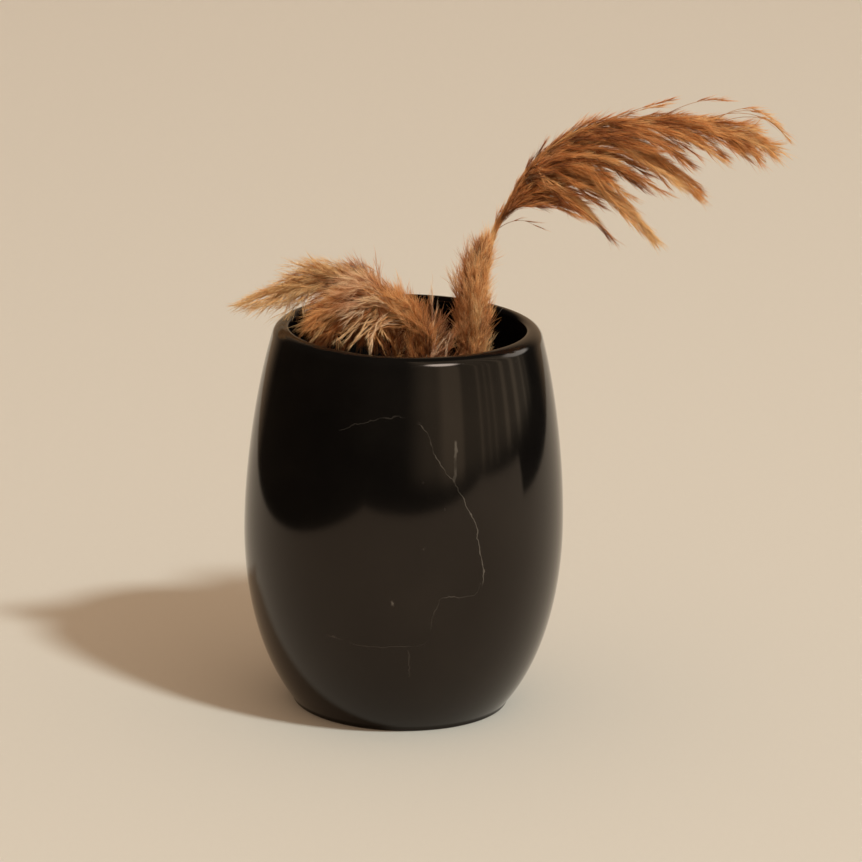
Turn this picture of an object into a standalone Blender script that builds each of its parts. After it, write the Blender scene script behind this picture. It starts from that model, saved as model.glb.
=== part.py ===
"""Wide-mouthed stone vase with four dried reed plumes that lift out of it.

Metres, +Z up. The origin is the centre of the foot, on the surface the vase stands on.
+X is the side the long reed arches to and -Y is the front.
"""

import math

import bmesh
import bpy
import numpy as np

MM = 0.001
GAP = 0.3 * MM

# Vase: a solid of revolution turned from one block.
BELLY_RADIUS = 61.7 * MM
BELLY_Z = 70.3 * MM
FOOT_RADIUS = 42.0 * MM
FOOT_EDGE = 1.2 * MM
FOOT_EDGE_ROUND = 0.6 * MM
SHOULDER_RADIUS = 51.75 * MM
SHOULDER_Z = 146.4 * MM
SHOULDER_SLOPE = math.radians(15.8)
LIP_OUTER_ROUND = 4.8 * MM
LIP_INNER_ROUND = 1.9 * MM
WALL = 6.0 * MM
FLOOR_Z = 8.0 * MM
FLOOR_FILLET = 9.0 * MM
FOOT_FLARE = math.radians(50.7)
FOOT_HANDLE = 21.1 * MM
BELLY_LOWER_HANDLE = 26.5 * MM
BELLY_UPPER_HANDLE = 26.3 * MM
SHOULDER_HANDLE = 19.5 * MM
VASE_STEPS = 72

# Reeds: each stands on the vase's floor in its own upright plane y = constant.
STEM_FOOT_Z = FLOOR_Z + GAP
STEM_SIDES = 8
PLUME_SIDES = 12
STEPS_PER_SPAN = 3
END_STUB = 1.0 * MM

# name, plane y, stem radius at foot and top, stem points (x, z), then plume sections.
# A section is its name and its centreline points (x, z, radius), all in millimetres.
REEDS = (
    {
        "name": "long_reed",
        "plane": 22.0,
        "stem_radii": (2.2, 1.1),
        "stem": ((12.0, None), (21.0, 92.0), (30.0, 170.0), (33.8, 186.0), (38.0, 194.0)),
        "sections": (
            ("plume_base", (
                (38.0, 194.0, 2.6), (44.0, 201.0, 6.5), (54.0, 207.0, 10.5), (66.0, 210.5, 13.0),
            )),
            ("plume_middle", (
                (66.0, 210.5, 13.0), (78.0, 212.0, 14.5), (90.0, 214.0, 14.5), (100.0, 218.0, 12.5),
            )),
            ("plume_tip", (
                (100.0, 218.0, 12.5), (112.0, 222.0, 9.5), (128.0, 221.5, 7.0), (145.5, 214.0, 2.0),
            )),
        ),
        "tufts": (
            ("side_tuft_a", (
                (60.0, 194.0, 2.2), (68.0, 188.5, 4.2), (77.0, 181.0, 3.4), (84.0, 175.0, 1.2),
            )),
            ("side_tuft_b", (
                (81.0, 194.5, 2.2), (86.0, 188.0, 4.0), (92.0, 181.0, 3.2), (97.0, 174.5, 1.2),
            )),
            ("side_tuft_c", ((104.0, 203.5, 2.0), (108.5, 200.5, 2.8), (113.5, 196.5, 1.0))),
        ),
    },
    {
        "name": "upright_reed",
        "plane": 0.0,
        "stem_radii": (2.4, 2.0),
        "stem": ((14.0, None), (20.0, 66.0), (24.5, 118.0)),
        "sections": (
            ("plume_lower", (
                (24.5, 118.0, 5.0), (25.6, 128.0, 8.0), (25.8, 140.0, 9.0), (25.8, 152.0, 9.4),
            )),
            ("plume_upper", (
                (25.8, 152.0, 9.4), (26.6, 162.0, 8.4), (28.4, 174.0, 5.8), (30.2, 187.0, 1.8),
            )),
        ),
        "tufts": (),
    },
    {
        "name": "left_reed",
        "plane": 12.5,
        "stem_radii": (2.3, 1.8),
        "stem": ((4.0, None), (1.0, 66.0), (-3.0, 124.0)),
        "sections": (
            ("plume_base", (
                (-3.0, 124.0, 4.0), (-4.5, 138.0, 6.5), (-9.5, 152.0, 7.6), (-19.5, 161.5, 8.0),
            )),
            ("plume_tip", (
                (-19.5, 161.5, 8.0), (-32.0, 165.0, 8.0), (-46.0, 162.5, 5.8), (-66.0, 152.5, 1.6),
            )),
        ),
        "tufts": (),
    },
    {
        "name": "curled_reed",
        "plane": -18.0,
        "stem_radii": (2.3, 1.8),
        "stem": ((6.0, None), (8.5, 66.0), (9.5, 122.0)),
        "sections": (
            ("plume_base", (
                (9.5, 122.0, 4.0), (9.5, 136.0, 7.0), (6.0, 152.0, 8.6), (-3.0, 162.5, 9.0),
            )),
            ("plume_tip", (
                (-3.0, 162.5, 9.0), (-14.0, 163.5, 8.6), (-25.0, 155.5, 6.4), (-36.0, 144.0, 2.0),
            )),
        ),
        "tufts": (),
    },
)

STONE = {"colour": (0.012, 0.011, 0.010, 1.0), "roughness": 0.14, "metallic": 0.0}
STEM = {"colour": (0.36, 0.20, 0.085, 1.0), "roughness": 0.62, "metallic": 0.0}
PLUME = {"colour": (0.30, 0.115, 0.038, 1.0), "roughness": 0.85, "metallic": 0.0}


def clear_scene():
    for item in list(bpy.data.objects):
        bpy.data.objects.remove(item, do_unlink=True)


def new_collection(name):
    collection = bpy.data.collections.new(name)
    bpy.context.scene.collection.children.link(collection)
    return collection


def new_material(name, look):
    material = bpy.data.materials.new(name)
    material.use_nodes = True
    shader = material.node_tree.nodes["Principled BSDF"]
    shader.inputs["Base Color"].default_value = look["colour"]
    shader.inputs["Roughness"].default_value = look["roughness"]
    shader.inputs["Metallic"].default_value = look["metallic"]
    material.diffuse_color = look["colour"]
    return material


def bezier(start, first, second, end, count):
    """Points on a cubic curve, the start left out and the end kept."""
    t = np.linspace(0.0, 1.0, count + 1)[1:, None]
    start, first, second, end = (np.array(p, float) for p in (start, first, second, end))
    points = (1 - t) ** 3 * start + 3 * (1 - t) ** 2 * t * first
    return points + 3 * (1 - t) * t * t * second + t ** 3 * end


def outer_profile():
    """(radius, z) from the foot's centre up the outside to where the lip's rounding starts."""
    foot_top = (FOOT_RADIUS, FOOT_EDGE)
    flare = (math.cos(FOOT_FLARE) * FOOT_HANDLE, math.sin(FOOT_FLARE) * FOOT_HANDLE)
    lower = bezier(
        foot_top,
        (FOOT_RADIUS + flare[0], FOOT_EDGE + flare[1]),
        (BELLY_RADIUS, BELLY_Z - BELLY_LOWER_HANDLE),
        (BELLY_RADIUS, BELLY_Z),
        12,
    )
    back = (math.sin(SHOULDER_SLOPE) * SHOULDER_HANDLE, -math.cos(SHOULDER_SLOPE) * SHOULDER_HANDLE)
    upper = bezier(
        (BELLY_RADIUS, BELLY_Z),
        (BELLY_RADIUS, BELLY_Z + BELLY_UPPER_HANDLE),
        (SHOULDER_RADIUS + back[0], SHOULDER_Z + back[1]),
        (SHOULDER_RADIUS, SHOULDER_Z),
        12,
    )
    foot = [(FOOT_RADIUS - FOOT_EDGE_ROUND, 0.0), (FOOT_RADIUS, FOOT_EDGE_ROUND), foot_top]
    return foot + [tuple(p) for p in lower] + [tuple(p) for p in upper]


def lip_profile():
    """The rounded lip, from the outer shoulder over the crest to the inner wall."""
    centre = (
        SHOULDER_RADIUS - LIP_OUTER_ROUND * math.cos(SHOULDER_SLOPE),
        SHOULDER_Z - LIP_OUTER_ROUND * math.sin(SHOULDER_SLOPE),
    )
    points = []
    for angle in np.linspace(SHOULDER_SLOPE, math.pi / 2, 7)[1:]:
        points.append((
            centre[0] + LIP_OUTER_ROUND * math.cos(angle),
            centre[1] + LIP_OUTER_ROUND * math.sin(angle),
        ))
    crest = points[-1]
    for angle in np.linspace(math.pi / 2, math.pi, 5)[1:]:
        points.append((
            crest[0] + LIP_INNER_ROUND * math.cos(angle),
            crest[1] - LIP_INNER_ROUND + LIP_INNER_ROUND * math.sin(angle),
        ))
    return points


def inner_profile(outer, lip_end):
    """The inner wall, one wall thickness inside the outer face, down to the filleted floor."""
    r = np.array([p[0] for p in outer])
    z = np.array([p[1] for p in outer])
    top = lip_end[1] - 6.0 * MM
    fillet_top = FLOOR_Z + FLOOR_FILLET
    wall = []
    for height in np.linspace(top, fillet_top, 13):
        wall.append((float(np.interp(height, z[1:], r[1:])) - WALL, float(height)))
    corner = wall[-1]
    floor_edge = corner[0] - FLOOR_FILLET
    fillet = bezier(
        corner,
        (corner[0] - 0.15 * FLOOR_FILLET, corner[1] - 0.55 * FLOOR_FILLET),
        (floor_edge + 0.45 * FLOOR_FILLET, FLOOR_Z),
        (floor_edge, FLOOR_Z),
        4,
    )
    return wall + [tuple(p) for p in fillet]


def add_vase(collection, material):
    outer = outer_profile()
    lip = lip_profile()
    inner = inner_profile(outer, lip[-1])
    profile = [(0.0, FLOOR_Z)] + inner[::-1] + lip[::-1] + outer[::-1] + [(0.0, 0.0)]
    mesh = bpy.data.meshes.new("vase_body")
    shape = bmesh.new()
    verts = [shape.verts.new((r, 0.0, z)) for r, z in profile]
    for a, b in zip(verts, verts[1:]):
        shape.edges.new((a, b))
    shape.to_mesh(mesh)
    shape.free()
    vase = bpy.data.objects.new("vase_body", mesh)
    collection.objects.link(vase)
    turn = vase.modifiers.new("turn", "SCREW")
    turn.axis = "Z"
    turn.angle = 2 * math.pi
    turn.steps = VASE_STEPS
    turn.render_steps = VASE_STEPS
    turn.use_merge_vertices = True
    turn.merge_threshold = 0.00001
    turn.use_normal_calculate = True
    turn.use_smooth_shade = True
    vase.data.materials.append(material)
    return vase


def smooth_path(points, count):
    """A Catmull-Rom curve through the points, with the same number of steps between each two."""
    points = np.array(points, float)
    first = 2 * points[0] - points[1]
    last = 2 * points[-1] - points[-2]
    padded = np.vstack([first, points, last])
    path = [points[0]]
    for i in range(len(points) - 1):
        a, b, c, d = padded[i:i + 4]
        for t in np.linspace(0.0, 1.0, count + 1)[1:]:
            path.append(0.5 * (
                2 * b + (c - a) * t + (2 * a - 5 * b + 4 * c - d) * t ** 2
                + (3 * b - a - 3 * c + d) * t ** 3
            ))
    return np.array(path)


def tangents_of(path):
    """The unit direction along the path at each of its points."""
    steps = np.gradient(path, axis=0)
    return steps / np.linalg.norm(steps, axis=1)[:, None]


def piece_path(centre, tangents, start, end, radii, cut_start, cut_end):
    """(x, z, radius) points from one index of the centreline to another.

    A cut end is square to the centreline and keeps half a gap from the point it's cut at.
    """
    points = [tuple(p) + (r,) for p, r in zip(centre[start:end + 1], radii)]
    if cut_start:
        points[:1] = [
            tuple(centre[start] + tangents[start] * reach) + (radii[0],)
            for reach in (GAP / 2, GAP / 2 + END_STUB)
        ]
    if cut_end:
        points[-1:] = [
            tuple(centre[end] - tangents[end] * reach) + (radii[-1],)
            for reach in (GAP / 2 + END_STUB, GAP / 2)
        ]
    return points


def add_tube(name, path, plane, sides, collection, material):
    """A closed tube along (x, z, radius) points in the plane y = plane."""
    curve = bpy.data.curves.new(name + "_axis", "CURVE")
    curve.dimensions = "3D"
    curve.bevel_depth = 1.0
    curve.bevel_resolution = sides // 4 - 1 + sides % 4
    curve.use_fill_caps = True
    curve.twist_mode = "MINIMUM"
    spline = curve.splines.new("POLY")
    spline.points.add(len(path) - 1)
    for point, (x, z, radius) in zip(spline.points, path):
        point.co = (x, 0.0, z, 1.0)
        point.radius = radius
    holder = bpy.data.objects.new(name + "_axis", curve)
    collection.objects.link(holder)
    graph = bpy.context.evaluated_depsgraph_get()
    mesh = bpy.data.meshes.new_from_object(holder.evaluated_get(graph))
    bpy.data.objects.remove(holder, do_unlink=True)
    shape = bmesh.new()
    shape.from_mesh(mesh)
    bmesh.ops.remove_doubles(shape, verts=shape.verts, dist=0.00001)
    bmesh.ops.recalc_face_normals(shape, faces=shape.faces)
    shape.to_mesh(mesh)
    shape.free()
    mesh.name = name
    mesh.materials.clear()
    mesh.materials.append(material)
    for face in mesh.polygons:
        face.use_smooth = True
    tube = bpy.data.objects.new(name, mesh)
    tube.location = (0.0, plane, 0.0)
    collection.objects.link(tube)
    return tube


def add_reed(reed, collection, stem_look, plume_look):
    """The stem and the plume's sections share one centreline, which is cut where they meet."""
    name = reed["name"]
    plane = reed["plane"] * MM
    spine = [(x * MM, STEM_FOOT_Z if z is None else z * MM) for x, z in reed["stem"]]
    marks = [len(spine) - 1]
    for label, points in reed["sections"]:
        spine += [(x * MM, z * MM) for x, z, radius in points[1:]]
        marks.append(len(spine) - 1)
    centre = smooth_path(spine, STEPS_PER_SPAN)
    tangents = tangents_of(centre)
    marks = [mark * STEPS_PER_SPAN for mark in marks]
    radii = np.linspace(reed["stem_radii"][0], reed["stem_radii"][1], marks[0] + 1) * MM
    path = piece_path(centre, tangents, 0, marks[0], radii, False, True)
    add_tube(name + "_stem", path, plane, STEM_SIDES, collection, stem_look)
    for i, (label, points) in enumerate(reed["sections"]):
        widths = smooth_path([(radius * MM, 0.0) for x, z, radius in points], STEPS_PER_SPAN)[:, 0]
        last = i == len(reed["sections"]) - 1
        path = piece_path(centre, tangents, marks[i], marks[i + 1], widths, True, not last)
        add_tube(name + "_" + label, path, plane, PLUME_SIDES, collection, plume_look)
    for label, points in reed["tufts"]:
        path = smooth_path([tuple(v * MM for v in point) for point in points], 2)
        add_tube(name + "_" + label, path, plane, STEM_SIDES, collection, plume_look)


def main():
    clear_scene()
    collection = new_collection("stone_vase_with_reeds")
    add_vase(collection, new_material("stone", STONE))
    stem_look = new_material("reed_stem", STEM)
    plume_look = new_material("reed_plume", PLUME)
    for reed in REEDS:
        add_reed(reed, collection, stem_look, plume_look)


main()
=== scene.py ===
"""Looks for a polished black stone vase that holds four dried reed plumes.

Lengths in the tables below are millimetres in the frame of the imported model: +Z up, the
origin at the centre of the vase's foot, -Y the front and +X the side the long reed arches to.
"""

import math

import bpy
import numpy as np
from mathutils import Matrix, Vector


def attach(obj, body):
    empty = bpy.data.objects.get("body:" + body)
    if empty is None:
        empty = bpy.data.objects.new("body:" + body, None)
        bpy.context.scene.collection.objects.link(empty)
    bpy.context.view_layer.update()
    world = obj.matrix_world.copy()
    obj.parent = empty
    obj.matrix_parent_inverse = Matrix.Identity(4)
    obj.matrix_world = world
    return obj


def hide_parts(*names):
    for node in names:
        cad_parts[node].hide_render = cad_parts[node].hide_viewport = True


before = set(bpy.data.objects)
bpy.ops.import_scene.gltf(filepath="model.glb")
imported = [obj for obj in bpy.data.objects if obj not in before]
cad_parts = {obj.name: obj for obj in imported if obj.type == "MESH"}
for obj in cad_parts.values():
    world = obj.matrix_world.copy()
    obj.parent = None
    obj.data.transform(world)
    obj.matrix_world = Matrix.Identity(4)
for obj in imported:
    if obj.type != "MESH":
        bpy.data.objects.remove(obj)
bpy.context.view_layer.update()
MM = 0.001
SCENE = bpy.context.scene

# ---------------------------------------------------------------- camera and stage

CAMERA_PLACE = (0.0098, -1.7904, 0.6240)
CAMERA_PITCH = math.radians(16.08)
CAMERA_ROLL = math.radians(1.28)
CAMERA_LENS = 201.95


def add_camera():
    data = bpy.data.cameras.new("camera")
    data.lens = CAMERA_LENS
    data.sensor_width = 36.0
    data.clip_end = 50.0
    camera = bpy.data.objects.new("camera", data)
    SCENE.collection.objects.link(camera)
    forward = Vector((0.0, math.cos(CAMERA_PITCH), -math.sin(CAMERA_PITCH)))
    right = Vector((1.0, 0.0, 0.0))
    up = Vector((0.0, math.sin(CAMERA_PITCH), math.cos(CAMERA_PITCH)))
    x_axis = right * math.cos(CAMERA_ROLL) + up * math.sin(CAMERA_ROLL)
    y_axis = up * math.cos(CAMERA_ROLL) - right * math.sin(CAMERA_ROLL)
    turn = Matrix((x_axis, y_axis, -forward)).transposed()
    camera.matrix_world = Matrix.Translation(CAMERA_PLACE) @ turn.to_4x4()
    SCENE.camera = camera


class Nodes:
    """A small helper that adds nodes and links them by socket name or index."""

    def __init__(self, tree):
        self.tree = tree

    def add(self, kind, inputs=(), **settings):
        node = self.tree.nodes.new(kind)
        for name, value in settings.items():
            setattr(node, name, value)
        for key, value in dict(inputs).items():
            if isinstance(value, bpy.types.NodeSocket):
                self.tree.links.new(value, node.inputs[key])
            else:
                node.inputs[key].default_value = value
        return node

    def math(self, operation, a, b=0.0, c=0.0, clamp=False):
        return self.add(
            "ShaderNodeMath", {0: a, 1: b, 2: c}, operation=operation, use_clamp=clamp
        ).outputs[0]

    def ramp(self, factor, stops, interpolation="LINEAR"):
        node = self.add("ShaderNodeValToRGB", {"Fac": factor})
        band = node.color_ramp
        band.interpolation = interpolation
        while len(band.elements) < len(stops):
            band.elements.new(0.5)
        for element, (place, colour) in zip(band.elements, stops):
            element.position = place
            element.color = (*colour, 1.0) if len(colour) == 3 else colour
        return node.outputs["Color"]

    def between(self, value, low, high):
        """0 below low, 1 above high, smooth between them."""
        return self.add(
            "ShaderNodeMapRange",
            {"Value": value, "From Min": low, "From Max": high},
            interpolation_type="SMOOTHSTEP",
        ).outputs["Result"]

    def window(self, value, rise, fall):
        """Rises from 0 to 1 over the first pair of values and back to 0 over the second."""
        falling = self.math("SUBTRACT", 1.0, self.between(value, *fall))
        return self.math("MULTIPLY", self.between(value, *rise), falling)

    def mix(self, factor, a, b):
        node = self.add("ShaderNodeMix", {"Factor": factor}, data_type="RGBA")
        for socket, value in ((node.inputs[6], a), (node.inputs[7], b)):
            if isinstance(value, bpy.types.NodeSocket):
                self.tree.links.new(value, socket)
            else:
                socket.default_value = (*value, 1.0)
        return node.outputs[2]


FLOOR_COLOUR = (0.70, 0.685, 0.625)
KEY_AZIMUTH = math.radians(49.5)
KEY_ELEVATION = math.radians(50.5)
KEY_DISTANCE = 8.0
KEY_SIZE = 0.84
KEY_POWER = 392.0
KEY_COLOUR = (0.955, 1.0, 0.965)
KEY_AIM = Vector((0.0, 0.0, 0.08))
# The gloss sees only the floor near the vase, as it would among the dark shapes of a studio.
FLOOR_REACH = 6.0
FLOOR_NEAR = -8.0
FLOOR_FAR = 8.0
FLOOR_LEFT = -0.37
FLOOR_RIGHT = 0.58
FLOOR_SIDE = 1.10
FLOOR_FRONT = -0.72
FLOOR_SPLIT = 0.02
# Name, left, near, right and far edge, and whether the gloss sees the tile.
FLOOR_TILES = (
    ("floor", FLOOR_LEFT, FLOOR_FRONT, FLOOR_RIGHT, FLOOR_FAR, True),
    ("floor_side", FLOOR_RIGHT, FLOOR_FRONT, FLOOR_SIDE, FLOOR_SPLIT, True),
    ("floor_front", -FLOOR_REACH, FLOOR_NEAR, FLOOR_REACH, FLOOR_FRONT, False),
    ("floor_left", -FLOOR_REACH, FLOOR_FRONT, FLOOR_LEFT, FLOOR_FAR, False),
    ("floor_right", FLOOR_SIDE, FLOOR_FRONT, FLOOR_REACH, FLOOR_SPLIT, False),
    ("floor_corner", FLOOR_RIGHT, FLOOR_SPLIT, FLOOR_REACH, FLOOR_FAR, False),
)


def add_floor():
    paint = floor_material()
    for name, left, near, right, far, glossy in FLOOR_TILES:
        corners = [(left, near, 0), (right, near, 0), (right, far, 0), (left, far, 0)]
        mesh = bpy.data.meshes.new(name)
        mesh.from_pydata(corners, [], [(0, 1, 2, 3)])
        mesh.materials.append(paint)
        floor = bpy.data.objects.new(name, mesh)
        SCENE.collection.objects.link(floor)
        floor.visible_glossy = glossy


def add_key_light():
    light = bpy.data.lights.new("key", "AREA")
    light.shape = "DISK"
    light.size = KEY_SIZE
    light.energy = KEY_POWER
    light.color = KEY_COLOUR
    key = bpy.data.objects.new("key", light)
    SCENE.collection.objects.link(key)
    key.visible_glossy = False
    flat = math.cos(KEY_ELEVATION) * KEY_DISTANCE
    place = Vector((
        math.sin(KEY_AZIMUTH) * flat,
        -math.cos(KEY_AZIMUTH) * flat,
        math.sin(KEY_ELEVATION) * KEY_DISTANCE,
    ))
    key.location = place
    key.rotation_euler = (KEY_AIM - place).to_track_quat("-Z", "Y").to_euler()


def floor_material():
    material = bpy.data.materials.new("floor_paint")
    material.use_nodes = True
    shader = material.node_tree.nodes["Principled BSDF"]
    shader.inputs["Base Color"].default_value = (*FLOOR_COLOUR, 1.0)
    shader.inputs["Roughness"].default_value = 0.75
    shader.inputs["Specular IOR Level"].default_value = 0.25
    return material


AMBIENT = (0.57, 0.392, 0.263)
BACKDROP = (0.43, 0.29, 0.175)
BACKGROUND = (0.65, 0.54, 0.41)
# How far back a direction points (its Y) where the bright wall behind the vase takes over.
WALL_RISE = (0.62, 0.93)
ROOM_DARK = (0.012, 0.010, 0.009)
ROOM_LIGHT = (0.98, 0.82, 0.60)
# Where dim shapes of the room stand, as angles in radians to the right of the front: each
# fades in over the first pair and out over the second.
BARS = ((0.90, 1.02), (1.80, 2.10))
SCREEN = ((-0.04, 0.34), (0.72, 0.86))
HAZE = ((0.5, 0.8), (1.80, 2.10))
HAZE_LEVEL = 0.42
HORIZON = (-0.09, -0.03)
# Bright patches: direction, the two cosines between which each fades in, and colour.
BRIGHT_PATCHES = (
    ((0.82, 0.385, 0.42), 0.955, 0.985, (2.6, 2.5, 2.3)),
    ((0.395, -0.498, 0.772), 0.972, 0.994, (13.0, 12.6, 12.0)),
)


def room_shapes(n, axes):
    """How light the room in front is, for a direction: tall dim shapes, mostly on the right."""
    angle = n.math("ARCTAN2", axes["X"], n.math("MULTIPLY", axes["Y"], -1.0))
    bars = n.add(
        "ShaderNodeTexNoise", {"W": n.math("MULTIPLY", angle, 2.3), "Scale": 4.0, "Detail": 2.0},
        noise_dimensions="1D",
    ).outputs[0]
    bars = n.math("MULTIPLY_ADD", n.between(bars, 0.44, 0.66), 0.75, 0.30)
    bars = n.math("MULTIPLY", bars, n.window(angle, *BARS))
    screen = n.math("MULTIPLY_ADD", n.between(angle, 0.40, 0.60), 0.75, 0.50)
    screen = n.math("MULTIPLY", screen, n.window(angle, *SCREEN))
    haze = n.math("MULTIPLY", HAZE_LEVEL, n.window(angle, *HAZE))
    shapes = n.math("MAXIMUM", n.math("MAXIMUM", bars, screen), haze)
    return n.math("MULTIPLY", shapes, n.between(axes["Z"], *HORIZON))


def add_world():
    """Warm fill for matt surfaces; a dark room in front and a bright wall behind for gloss."""
    world = bpy.data.worlds.new("studio")
    SCENE.world = world
    world.use_nodes = True
    tree = world.node_tree
    tree.nodes.clear()
    n = Nodes(tree)
    way = n.add("ShaderNodeTexCoord").outputs["Generated"]
    axes = n.add("ShaderNodeSeparateXYZ", {0: way}).outputs
    room = n.mix(room_shapes(n, axes), ROOM_DARK, ROOM_LIGHT)
    for place, low, high, colour in BRIGHT_PATCHES:
        patch = n.add(
            "ShaderNodeVectorMath", {0: way, 1: place}, operation="DOT_PRODUCT"
        ).outputs["Value"]
        room = n.mix(n.between(patch, low, high), room, colour)
    gloss = n.mix(n.between(axes["Y"], *WALL_RISE), room, BACKDROP)
    path = n.add("ShaderNodeLightPath").outputs
    seen = n.mix(path["Is Glossy Ray"], AMBIENT, gloss)
    seen = n.mix(path["Is Camera Ray"], seen, BACKGROUND)
    shade = n.add("ShaderNodeBackground", {"Color": seen, "Strength": 1.0}).outputs[0]
    n.add("ShaderNodeOutputWorld", {"Surface": shade})


# ---------------------------------------------------------------- stone vase

BELLY_RADIUS = 61.7
BELLY_Z = 70.3
FOOT_RADIUS = 42.0
FOOT_EDGE = 1.2
FOOT_EDGE_ROUND = 0.6
SHOULDER_RADIUS = 51.75
SHOULDER_Z = 146.4
SHOULDER_SLOPE = math.radians(15.8)
LIP_OUTER_ROUND = 4.8
LIP_INNER_ROUND = 1.9
WALL = 6.0
VASE_FLOOR = 8.0
FLOOR_FILLET = 9.0
FOOT_FLARE = math.radians(50.7)
FOOT_HANDLE = 21.1
BELLY_LOWER_HANDLE = 26.5
BELLY_UPPER_HANDLE = 26.3
SHOULDER_HANDLE = 19.5
VASE_SEGMENTS = 256


def bezier(start, first, second, end, count):
    t = np.linspace(0.0, 1.0, count + 1)[1:, None]
    start, first, second, end = (np.array(p, float) for p in (start, first, second, end))
    near = (1 - t) ** 3 * start + 3 * (1 - t) ** 2 * t * first
    return near + 3 * (1 - t) * t * t * second + t ** 3 * end


def arc(centre, radius, low, high, count):
    angles = np.linspace(low, high, count + 1)[1:]
    return np.column_stack([
        centre[0] + radius * np.cos(angles),
        centre[1] + radius * np.sin(angles),
    ])


def vase_profile():
    """(radius, z) from the foot's centre up the outside, over the lip and down to the floor."""
    foot_top = (FOOT_RADIUS, FOOT_EDGE)
    foot = np.vstack([
        np.column_stack([np.linspace(0.0, FOOT_RADIUS - FOOT_EDGE_ROUND, 12), np.zeros(12)]),
        arc((FOOT_RADIUS - FOOT_EDGE_ROUND, FOOT_EDGE_ROUND), FOOT_EDGE_ROUND, -math.pi / 2, 0, 4),
        [foot_top],
    ])
    flare = (math.cos(FOOT_FLARE) * FOOT_HANDLE, math.sin(FOOT_FLARE) * FOOT_HANDLE)
    lower = bezier(
        foot_top,
        (FOOT_RADIUS + flare[0], FOOT_EDGE + flare[1]),
        (BELLY_RADIUS, BELLY_Z - BELLY_LOWER_HANDLE),
        (BELLY_RADIUS, BELLY_Z),
        48,
    )
    back = (
        SHOULDER_RADIUS + math.sin(SHOULDER_SLOPE) * SHOULDER_HANDLE,
        SHOULDER_Z - math.cos(SHOULDER_SLOPE) * SHOULDER_HANDLE,
    )
    upper = bezier(
        (BELLY_RADIUS, BELLY_Z),
        (BELLY_RADIUS, BELLY_Z + BELLY_UPPER_HANDLE),
        back,
        (SHOULDER_RADIUS, SHOULDER_Z),
        48,
    )
    centre = (
        SHOULDER_RADIUS - LIP_OUTER_ROUND * math.cos(SHOULDER_SLOPE),
        SHOULDER_Z - LIP_OUTER_ROUND * math.sin(SHOULDER_SLOPE),
    )
    outer_lip = arc(centre, LIP_OUTER_ROUND, SHOULDER_SLOPE, math.pi / 2, 18)
    crest = outer_lip[-1]
    inner_lip = arc((crest[0], crest[1] - LIP_INNER_ROUND), LIP_INNER_ROUND, math.pi / 2, math.pi, 10)
    outside = np.vstack([foot, lower, upper])
    climb = outside[len(foot) - 1:]
    heights = np.linspace(inner_lip[-1][1] - 6.0, VASE_FLOOR + FLOOR_FILLET, 60)
    wall = np.column_stack([np.interp(heights, climb[:, 1], climb[:, 0]) - WALL, heights])
    corner = wall[-1]
    edge = corner[0] - FLOOR_FILLET
    fillet = bezier(
        corner,
        (corner[0] - 0.15 * FLOOR_FILLET, corner[1] - 0.55 * FLOOR_FILLET),
        (edge + 0.45 * FLOOR_FILLET, VASE_FLOOR),
        (edge, VASE_FLOOR),
        12,
    )
    floor = np.column_stack([np.linspace(edge, 0.0, 10)[1:], np.full(9, VASE_FLOOR)])
    return np.vstack([outside, outer_lip, inner_lip, wall, fillet, floor])


def add_vase():
    profile = vase_profile() * MM
    rings = profile[1:-1]
    angles = np.linspace(0.0, 2 * math.pi, VASE_SEGMENTS, endpoint=False)
    points = np.stack([
        rings[:, None, 0] * np.cos(angles),
        rings[:, None, 0] * np.sin(angles),
        np.repeat(rings[:, 1:], VASE_SEGMENTS, axis=1),
    ], axis=2).reshape(-1, 3)
    count = len(rings)
    first = len(points)
    points = np.vstack([points, [(0, 0, profile[0, 1])], [(0, 0, profile[-1, 1])]])
    i, j = np.meshgrid(np.arange(count - 1), np.arange(VASE_SEGMENTS), indexing="ij")
    near = (j + 1) % VASE_SEGMENTS
    quads = np.stack([
        i * VASE_SEGMENTS + j,
        i * VASE_SEGMENTS + near,
        (i + 1) * VASE_SEGMENTS + near,
        (i + 1) * VASE_SEGMENTS + j,
    ], axis=2).reshape(-1, 4)
    around = np.arange(VASE_SEGMENTS)
    following = (around + 1) % VASE_SEGMENTS
    top = (count - 1) * VASE_SEGMENTS
    faces = [tuple(f) for f in quads.tolist()]
    faces += [(int(b), int(a), first) for a, b in zip(around, following)]
    faces += [(int(a) + top, int(b) + top, first + 1) for a, b in zip(around, following)]
    mesh = bpy.data.meshes.new("vase_shell")
    mesh.from_pydata(points.tolist(), [], faces)
    mesh.validate()
    mesh.polygons.foreach_set("use_smooth", [True] * len(mesh.polygons))
    mesh.materials.append(stone_material())
    vase = bpy.data.objects.new("vase_shell", mesh)
    SCENE.collection.objects.link(vase)
    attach(vase, "vase")
    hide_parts("vase_body")


# Veins: each is a line over the surface given by a few (degrees to the right of the front,
# height) points, a half width in millimetres and a strength. A tall vein is followed as angle
# over height, a flat one as height over angle.
TALL_VEINS = (
    (((30.0, 64), (29.6, 70), (28.6, 76), (27.4, 84), (24.4, 92), (21.2, 100), (18.0, 105),
      (13.6, 111), (11.2, 116), (10.0, 120), (6.8, 125), (1.2, 129)), 0.26, 0.19),
    (((18.4, 104), (19.2, 111), (19.4, 120)), 0.75, 0.15),
    (((10.6, 44), (11.0, 50), (12.6, 56), (13.4, 59)), 0.24, 0.09),
    (((3.3, 27), (3.0, 38)), 0.30, 0.05),
)
FLAT_VEINS = (
    (((-25.0, 122), (-12.0, 127.2), (-1.0, 129.2), (6.0, 126.8)), 0.24, 0.05),
    (((13.0, 59), (17.0, 60.4), (24.0, 59.2), (29.0, 64)), 0.24, 0.13),
    (((-27.0, 42), (-15.0, 39.6), (-4.0, 39.4), (8.0, 40.8), (11.0, 45)), 0.26, 0.07),
)

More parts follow.
